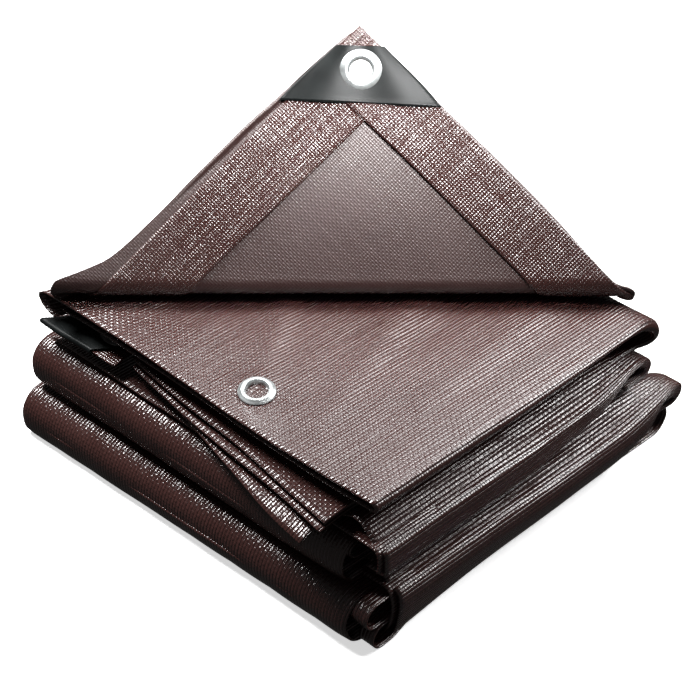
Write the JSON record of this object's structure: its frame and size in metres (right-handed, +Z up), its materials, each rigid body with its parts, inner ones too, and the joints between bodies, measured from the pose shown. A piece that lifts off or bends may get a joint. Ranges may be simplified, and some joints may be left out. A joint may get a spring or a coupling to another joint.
{
  "type": "folded tarp",
  "caption": "Coated woven tarp folded to a thick square stack, its top corner turned back as a flap, with black plastic corner patches and metal eyelets",
  "frame": {"origin": "middle of the stack's underside, on the surface it lies on", "axes": "+Z up; +X along the right-hand side of the stack, away from its near corner; +Y along the left-hand side, along the rolls, away from the near corner"},
  "size_m": [0.279, 0.2812, 0.2277],
  "materials": {
    "coated_cloth": "glossy coated weave",
    "corner_plastic": "gloss",
    "eyelet_metal": "satin"
  },
  "bodies": {
    "root": {"tarp_cloth": "coated_cloth", "side_hem": "coated_cloth", "flap_corner": "coated_cloth", "side_corner": "coated_cloth", "top_corner_patch": "corner_plastic", "side_corner_patch": "corner_plastic", "top_corner_eyelet": "eyelet_metal", "side_corner_eyelet": "eyelet_metal", "edge_eyelet": "eyelet_metal"}
  },
  "joints": []
}
